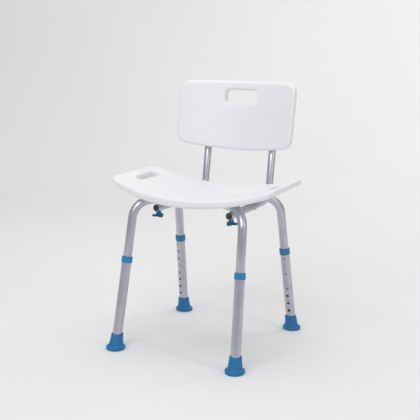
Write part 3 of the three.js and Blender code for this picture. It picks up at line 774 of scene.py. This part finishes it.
# ------------------------------------------------------------------ leg frames
def make_frame(name, a, b, upper):
    ax, ay = a
    bx, by = b
    extra = [-26, -23.2, -21.9, -20.6, -19.4, -18.6, -9, 0, 9, 18.6, 19.4, 20.6, 21.9, 23.2, 26]
    pts, tans = bent_path(
        [leg_point(ax, ay, FRAME_END_Z), leg_point(ax, ay, FRAME_Z), leg_point(bx, by, FRAME_Z), leg_point(bx, by, FRAME_END_Z)],
        [FRAME_BEND, FRAME_BEND],
        18,
        [extra],
    )
    end = leg_point(bx, by, FRAME_Z)
    d = unit([end[0], end[1], 0.0])

    def shape(q, r):
        s = abs(q[:2].dot(d[:2]))
        if s > 24.0 or abs(q[2] - FRAME_Z) > 14:
            return q
        wall = FRAME_R - r
        k = min(1.0, max(0.0, (23.2 - s) / (23.2 - 18.6)))
        k = k * k * (3 - 2 * k)
        g = 0.25 + wall
        if upper:
            lim = (FRAME_Z - r) * (1 - k) + (FRAME_Z + g) * k
            if q[2] < lim:
                q = np.array([q[0], q[1], lim])
        else:
            lim = (FRAME_Z + r) * (1 - k) + (FRAME_Z - g) * k
            if q[2] > lim:
                q = np.array([q[0], q[1], lim])
        return q

    v, f, uv = sweep(pts, tans, FRAME_R, FRAME_R - 1.3, 48, shape=shape)
    return new_object(name, v, f, uv, sharp=50.0)


finish_piece(make_frame("leg_frame_upper", (-1, -1), (1, 1), True), ALU, "chair_body", "aluminium", "leg_frame_a")
finish_piece(make_frame("leg_frame_lower", (1, -1), (-1, 1), False), ALU, "chair_body", "aluminium", "leg_frame_b")

zt, zb = FRAME_Z + FRAME_R + 0.3, FRAME_Z - FRAME_R - 0.3
rivet = [(0, zb - 2.4), (1.6, zb - 2.3), (3.6, zb - 1.7), (5.0, zb - 0.7), (5.5, zb), (3.0, zb), (3.0, zt), (5.5, zt), (5.0, zt + 0.7), (3.6, zt + 1.7), (1.6, zt + 2.3), (0, zt + 2.4)]
v, f = lathe(rivet, 32)
finish_piece(new_object("centre_rivet", v, f), STEEL, "chair_body", "steel", "frame_rivet")


# -------------------------------------------------------------- backrest tubes
for tag, s in (("left", -1), ("right", 1)):
    pts, tans = bent_path(
        [
            (s * POST_X_FRONT, POST_FRONT_Y, POST_Z),
            (s * POST_X, post_y(POST_Z), POST_Z),
            (s * POST_X, post_y(POST_TOP_Z), POST_TOP_Z),
        ],
        [POST_BEND],
        18,
    )
    v, f, uv = sweep(pts, tans, POST_R, POST_R - 1.2, 48)
    finish_piece(new_object("post_tube_" + tag, v, f, uv, sharp=50.0), ALU, "chair_body", "aluminium", "backrest_tube_" + tag)

    # end plug: dished face with two raised rings
    prof = [(0, 1.5), (2.6, 1.5), (2.9, 1.6), (3.2, 2.9), (5.2, 2.9), (5.5, 1.7), (7.0, 1.5), (7.3, 0.9), (9.0, 0.8), (9.35, 1.1), (9.35, 9.2), (0, 9.2)]
    v, f = lathe(prof, 48)
    m = np.eye(4)
    t = unit([s * (POST_X - POST_X_FRONT), post_y(POST_Z) - POST_FRONT_Y, 0])
    m[:3, 2] = t
    m[:3, 0] = unit(np.cross([0, 0, 1.0], t))
    m[:3, 1] = np.cross(m[:3, 2], m[:3, 0])
    m[:3, 3] = (s * POST_X_FRONT, POST_FRONT_Y, POST_Z)
    finish_piece(new_object("end_plug_" + tag, move(v, m), f, sharp=28.0), PLUG, "chair_body", "plug", "tube_plug_" + tag)

    # socket screw with a cross recess
    back = unit([0, 1.0, -POST_LEAN])
    sc = np.array([s * POST_X, post_y(602), 602.0])
    m = np.eye(4)
    m[:3, 2] = back
    m[:3, 0] = (1, 0, 0)
    m[:3, 1] = np.cross(back, (1, 0, 0))
    m[:3, 3] = sc
    prof = [(0, 6.2), (1.6, 6.2), (2.0, 6.8), (2.0, 15.1), (4.4, 15.1), (4.6, 15.5), (4.4, 16.4), (3.4, 17.2), (1.8, 17.5), (0, 17.55)]
    v, f = lathe(prof, 32)
    ob = new_object("socket_screw_" + tag, move(v, m), f, sharp=35.0)
    slots = []
    for w, h in ((1.7, 0.42), (0.42, 1.7)):
        c = [(x, y, z) for z in (16.4, 18.5) for y in (-h, h) for x in (-w, w)]
        slots.append((move(c, m), [(0, 1, 3, 2), (4, 6, 7, 5), (0, 4, 5, 1), (2, 3, 7, 6), (0, 2, 6, 4), (1, 5, 7, 3)]))
    for k, (cv, cf) in enumerate(slots):
        boolean(ob, new_object("tool", cv, cf), sharp=35.0)
    finish_piece(ob, STEEL, "chair_body", "steel", "backrest_screw_" + tag)


# --------------------------------------------------------- knobs, studs, bolts
def threaded(z0, z1, r=3.0, pitch=1.0, n=24):
    """A rod whose surface is stepped into fine thread rings."""
    prof = [(0, z0), (r - 0.6, z0), (r - 0.3, z0 + 0.4)]
    z = z0 + 0.8
    while z < z1 - 1.2:
        prof += [(r - 0.32, z), (r - 0.02, z + pitch / 2)]
        z += pitch
    prof += [(r - 0.3, z1 - 0.6), (r - 0.7, z1), (0, z1)]
    return lathe(prof, n)


for tag, s in (("left", -1), ("right", 1)):
    x, y = s * FRONT_PT[0], FRONT_PT[1]
    turn = math.radians(27 + (180 if s < 0 else 0))
    n = 96
    z0 = KNOB_TOP - KNOB_H

    def lobe(a):
        return 14.0 + 6.0 * math.cos(3 * (a - turn))

    outline = np.array([(lobe(a) * math.cos(a), lobe(a) * math.sin(a)) for a in [2 * math.pi * k / n for k in range(n)]])
    levels = [(4.0, 0.0, 0.55), (2.2, 0.0, 1.0), (1.2, 0.25, 1.0), (0.45, 0.8, 1.0), (0.1, 1.5, 1.0), (0.0, 2.1, 1.0), (0.0, 4.2, 1.0), (0.15, 4.9, 1.0), (0.6, 5.6, 1.0), (1.4, 6.15, 1.0), (2.4, 6.4, 1.0)]
    verts, faces = [], []
    verts.append((0, 0, z0 + 0.8))
    rows = []
    for inset, h, scale in levels:
        row = offset_loop(outline, inset) * (scale if scale < 1 else 1)
        rows.append(len(verts))
        hh = z0 + h if scale == 1.0 else z0 + 0.5
        verts += [(p[0], p[1], hh) for p in row]
    # hub that narrows upwards to the tube
    for r, h in ((10.3, 6.5), (9.7, 6.9), (8.9, 8.2), (8.2, 9.8), (7.6, 11.2), (7.15, 12.8), (6.9, 14.4), (6.7, 15.3), (6.3, 15.5)):
        rows.append(len(verts))
        verts += [(r * math.cos(2 * math.pi * k / n), r * math.sin(2 * math.pi * k / n), z0 + h) for k in range(n)]
    for k in range(n):
        faces.append((0, rows[0] + (k + 1) % n, rows[0] + k))
    for a, b in zip(rows[:-1], rows[1:]):
        for k in range(n):
            faces.append((a + k, a + (k + 1) % n, b + (k + 1) % n, b + k))
    verts.append((0, 0, z0 + 15.5))
    for k in range(n):
        faces.append((rows[-1] + k, rows[-1] + (k + 1) % n, len(verts) - 1))
    v = np.array(verts) + np.array([x, y, 0])
    finish_piece(new_object("lobe_knob_" + tag, v, faces, sharp=40.0), KNOB, "knob_" + tag, "knob", "clamp_knob_" + tag)

    v, f = threaded(KNOB_TOP - KNOB_H + 4.5, STUD_TOP)
    finish_piece(new_object("stud_" + tag, v + np.array([x, y, 0]), f, sharp=60.0), STEEL, "knob_" + tag, "steel", "knob_stud_" + tag)

    rx, ry = s * REAR_PT[0], REAR_PT[1]
    prof = [(0, KNOB_TOP - 2.4), (2.8, KNOB_TOP - 2.4), (3.8, KNOB_TOP - 2.25), (4.9, KNOB_TOP - 1.7), (5.5, KNOB_TOP - 0.9), (5.8, KNOB_TOP - 0.2), (5.75, KNOB_TOP), (3.0, KNOB_TOP), (3.0, STUD_TOP - 0.6), (2.4, STUD_TOP), (0, STUD_TOP)]
    v, f = lathe(prof, 48)
    ob = new_object("low_bolt_" + tag, v + np.array([rx, ry, 0]), f, sharp=35.0)
    hv, hf = bar_object("tool", (rx, ry, KNOB_TOP - 6), (rx, ry, KNOB_TOP - 0.9), 2.0, 6)
    boolean(ob, new_object("tool", np.array(hv), hf), sharp=35.0)
    finish_piece(ob, STEEL, "chair_body", "steel", "rear_bolt_" + tag)

    for end, ix, iy in (("front", x, y), ("rear", rx, ry)):
        prof = [(3.5, 450.4), (4.4, 450.4), (4.9, 450.9), (4.9, 453.0), (4.4, 453.5), (4.4, 454.5), (4.9, 455.0), (4.9, 457.0), (4.4, 457.5), (4.4, 458.5), (4.9, 459.0), (4.9, 459.9), (4.4, 460.4), (3.5, 460.4)]
        v, f = lathe(prof, 32, close=True)
        finish_piece(new_object("insert_%s_%s" % (end, tag), v + np.array([ix, iy, 0]), f), BRASS, "chair_body", "brass", "seat_insert_%s_%s" % (end, tag))


# ------------------------------------------------------------------------ legs
for tag, sx, sy in LEGS:
    m = leg_matrix(sx, sy)
    body = "leg_" + tag
    top = EXT_TOP_Z * LEG_UNIT
    ez, ex = leg_axis(sx, sy), hole_direction(sx, sy)
    foot = leg_point(sx, sy, 0)
    pts = np.array([foot + ez * L for L in (EXT_START, 60.0, 120.0, 180.0, 240.0, top)])
    v, f, uv = sweep(pts, np.array([ez] * len(pts)), EXT_R, EXT_BORE, 64)
    ob = new_object("extension_" + tag, v, f, uv, sharp=50.0)
    first = BUTTON_Z * LEG_UNIT + BUTTON_INDEX * HOLE_PITCH
    parts = []
    for i in range(HOLE_COUNT):
        c = foot + ez * (first - i * HOLE_PITCH)
        parts.append(bar_object("", c + ex * 8, c + ex * 20, HOLE_R, 28))
    cv, cf = join_parts(parts)
    boolean(ob, new_object("tool", cv, cf), sharp=38.0)
    finish_piece(ob, ALU, body, "aluminium", "leg_extension_" + tag)

    # collar with rounded edges and a shallow groove
    c0, c1 = COLLAR_Z0 * LEG_UNIT, COLLAR_Z1 * LEG_UNIT
    R = COLLAR_R - 0.05
    prof = [(14.75, c0 + 0.3), (14.9, c0)]
    prof += arc(R - 1.3, c0 + 1.3, 1.3, -90, 0, 6)
    prof += [(R, c1 - 4.6), (R - 0.25, c1 - 4.4), (R - 0.25, c1 - 4.0), (R, c1 - 3.8)]
    prof += arc(R - 2.4, c1 - 2.4, 2.4, 0, 90, 8)
    prof += [(13.3, c1), (13.1, c1 - 0.2), (13.1, top + 0.4), (14.75, top + 0.4)]
    v, f = lathe(prof, 64, close=True)
    finish_piece(new_object("collar_ring_" + tag, move(v, m), f, sharp=40.0), BLUE, body, "collar", "leg_collar_" + tag)

    # flared tip with a level sole
    prof = [(0, 0.9), (11.0, 0.9), (12.0, 0.05), (17.0, 0.05), (18.0, 0.9), (20.5, 0.9), (21.5, 0.0), (25.0, 0.0)]
    prof += arc(25.0, 2.6, 2.6, -90, -20, 6)
    prof += [(27.9, 2.9), (28.2, 4.4), (28.2, 6.6)]
    prof += arc(25.7, 7.6, 2.45, 5, 80, 7)
    prof += [(24.8, 10.35), (23.4, 10.9), (22.3, 12.0), (21.5, 13.8), (21.0, 16.2), (20.5, 19.2), (19.9, 23.2), (19.2, 28.0), (18.6, 33.0), (18.1, 38.0), (17.7, 43.6)]
    prof += arc(16.25, 45.0, 1.3, 10, 90, 5)
    prof += [(15.6, 46.3), (15.3, 46.0), (15.3, 12.0), (0, 12.0)]
    v, f = lathe(prof, 72)
    v = np.array([(p[0] + leg_point(sx, sy, p[2])[0], p[1] + leg_point(sx, sy, p[2])[1], p[2]) for p in v])
    finish_piece(new_object("rubber_tip_" + tag, v, f, sharp=40.0), TIP, body, "tip", "foot_tip_" + tag)

    prof = [(3.1, 15.3), (13.6, 15.3), (13.85, 15.6), (13.85, 16.9), (13.6, 17.15), (3.1, 17.15)]
    v, f = lathe(prof, 48, close=True)
    finish_piece(new_object("washer_" + tag, move(v, m), f), STEEL, body, "steel", "foot_washer_" + tag)

    # snap button: dome that slides, and the V of spring strip that it presses on; the strip is one fixed shape
    bz = BUTTON_Z * LEG_UNIT
    face = EXT_R + 2.3
    prof = [(0, 10.2), (3.4, 10.2), (3.45, 10.6), (3.45, face - 2.1)]
    prof += [(3.45 * math.cos(math.radians(a)), face - 2.1 + 2.05 * math.sin(math.radians(a))) for a in (15, 30, 45, 60, 75)]
    prof += [(0, face - 0.05)]
    v, f = lathe(prof, 40)
    turn = np.array([[0, 0, 1.0], [0, 1.0, 0], [-1.0, 0, 0]])
    v = np.asarray(v) @ turn.T + np.array([0, 0, bz])
    ob = new_object("button_dome_" + tag, move(v, m), f, sharp=40.0)
    finish_piece(ob, STEEL, "button_" + tag, "steel", "snap_button_" + tag)
    outer = [(10.15, -6), (10.15, 5), (8.8, 11), (3.4, 34.5), (2.9, 36.6), (2.0, 38.4), (0, 39.4), (-2.0, 38.4), (-2.9, 36.6), (-3.4, 34.5), (-8.8, 10.5), (-10.15, 4), (-10.15, -4)]
    inner = [(-9.45, -4), (-9.45, 4), (-8.1, 10.5), (-2.7, 34.4), (-2.2, 36.3), (-1.5, 37.7), (0, 38.6), (1.5, 37.7), (2.2, 36.3), (2.7, 34.4), (8.1, 11), (9.45, 5), (9.45, -6)]
    loop = outer + inner
    n = len(loop)
    v = [(p[0], w, p[1] + bz) for w in (-3.9, 3.9) for p in loop]
    k = len(outer)
    f = [(i, (i + 1) % n, n + (i + 1) % n, n + i) for i in range(n)]
    for i in range(k - 1):
        f.append((i + 1, i, n - 1 - i, n - 2 - i))
        f.append((n + i, n + i + 1, 2 * n - 2 - i, 2 * n - 1 - i))
    ob = new_object("button_spring_" + tag, move(np.array(v), m), f, sharp=30.0)
    finish_piece(ob, STEEL, "chair_body", "steel", "snap_button_" + tag)
    anchor = move(np.array([-10.2, 0, bz]), m)
    tuple(ex)
    tuple(world(anchor))
    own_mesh(ob)


# ------------------------------------------------------------- camera and stage
AZ, EL, DIST, FOCAL, TX, TZ, ROLL = math.radians(27.163), math.radians(11.456), 2509.97, 843.28, 5.767, 400.96, math.radians(0.566)
back = np.array([math.sin(AZ) * math.cos(EL), -math.cos(AZ) * math.cos(EL), math.sin(EL)])
target = np.array([TX * math.cos(AZ), TX * math.sin(AZ), TZ])
eye = target + back * DIST
right = np.array([math.cos(AZ), math.sin(AZ), 0.0])
up = np.cross(back, right)
r2 = right * math.cos(ROLL) + up * math.sin(ROLL)
u2 = -right * math.sin(ROLL) + up * math.cos(ROLL)
cam_data = bpy.data.cameras.new("camera")
cam = bpy.data.objects.new("camera", cam_data)
bpy.context.scene.collection.objects.link(cam)
mat = Matrix.Identity(4)
for i in range(3):
    mat[i][0], mat[i][1], mat[i][2] = r2[i], u2[i], back[i]
    mat[i][3] = float(world(eye)[i])
cam.matrix_world = mat
cam_data.sensor_width = 36.0
cam_data.lens = FOCAL / 420.0 * 36.0
cam_data.clip_start = 0.05
cam_data.clip_end = 60.0
bpy.context.scene.camera = cam


def stage_material():
    m, nt, b = nodes_of("studio_paper")
    c = object_coord(nt)
    cloud = noise(nt, c, 0.8, 2.0)
    grain = noise(nt, c, 260.0, 2.0)
    nt.links.new(ramp(nt, cloud, [(0.3, (0.805, 0.805, 0.808)), (0.7, (0.825, 0.825, 0.826))]), b.inputs["Base Color"])
    b.inputs["Roughness"].default_value = 0.9
    b.inputs["Specular IOR Level"].default_value = 0.1
    bump(nt, b, [(grain, 0.03, 0.0004)])
    return m


# floor that sweeps up into the backdrop, square to the camera
prof = [(-3.2, 0.0), (2.0, 0.0)]
for k in range(1, 25):
    a = math.pi / 2 * k / 24
    prof.append((2.0 + 1.6 * math.sin(a), 1.6 - 1.6 * math.cos(a)))
prof.append((3.6, 5.0))
yaw = Matrix.Rotation(AZ, 3, "Z")
verts, faces = [], []
for x in (-6.0, 6.0):
    for y, z in prof:
        p = yaw @ Vector((x, y, z))
        verts.append((p.x, p.y, p.z))
n = len(prof)
for k in range(n - 1):
    faces.append((k, n + k, n + k + 1, k + 1))
me = bpy.data.meshes.new("sweep")
me.from_pydata(verts, [], faces)
me.shade_smooth()
floor = bpy.data.objects.new("sweep", me)
bpy.context.scene.collection.objects.link(floor)
me.materials.append(stage_material())


def area(name, loc, aim, size, power, color=(1, 1, 1)):
    data = bpy.data.lights.new(name, "AREA")
    data.shape = "RECTANGLE"
    data.size, data.size_y = size
    data.energy = power
    data.color = color
    ob = bpy.data.objects.new(name, data)
    bpy.context.scene.collection.objects.link(ob)
    ob.location = loc
    ob.rotation_euler = (Vector(aim) - Vector(loc)).to_track_quat("-Z", "Y").to_euler()
    return ob


def studio(r, f, z):
    """A place given as metres to the camera's right, away from it, and up."""
    c, d = math.cos(AZ), math.sin(AZ)
    return (r * c - f * d, r * d + f * c, z)


area("front", studio(-1.5, -3.2, 3.2), (0, 0.1, 0.45), (3.4, 2.4), 72, (0.95, 0.96, 1.0))
area("top", studio(-0.2, 0.3, 3.5), (0, 0.1, 0), (3.0, 3.0), 40, (1.0, 1.0, 0.99))
area("side", studio(2.2, -1.7, 1.5), (0, 0.1, 0.40), (0.4, 1.9), 10, (0.93, 0.95, 1.0))
area("backdrop", studio(2.6, 1.3, 2.9), studio(1.7, 3.6, 1.7), (1.4, 1.4), 38, (1.0, 0.998, 0.99))
world_data = bpy.data.worlds.new("studio")
bpy.context.scene.world = world_data
world_data.use_nodes = True
bg = world_data.node_tree.nodes["Background"]
bg.inputs["Color"].default_value = (0.965, 0.962, 0.965, 1)
bg.inputs["Strength"].default_value = 0.48
bpy.context.scene.view_settings.view_transform = "Standard"
bpy.context.scene.view_settings.look = "None"
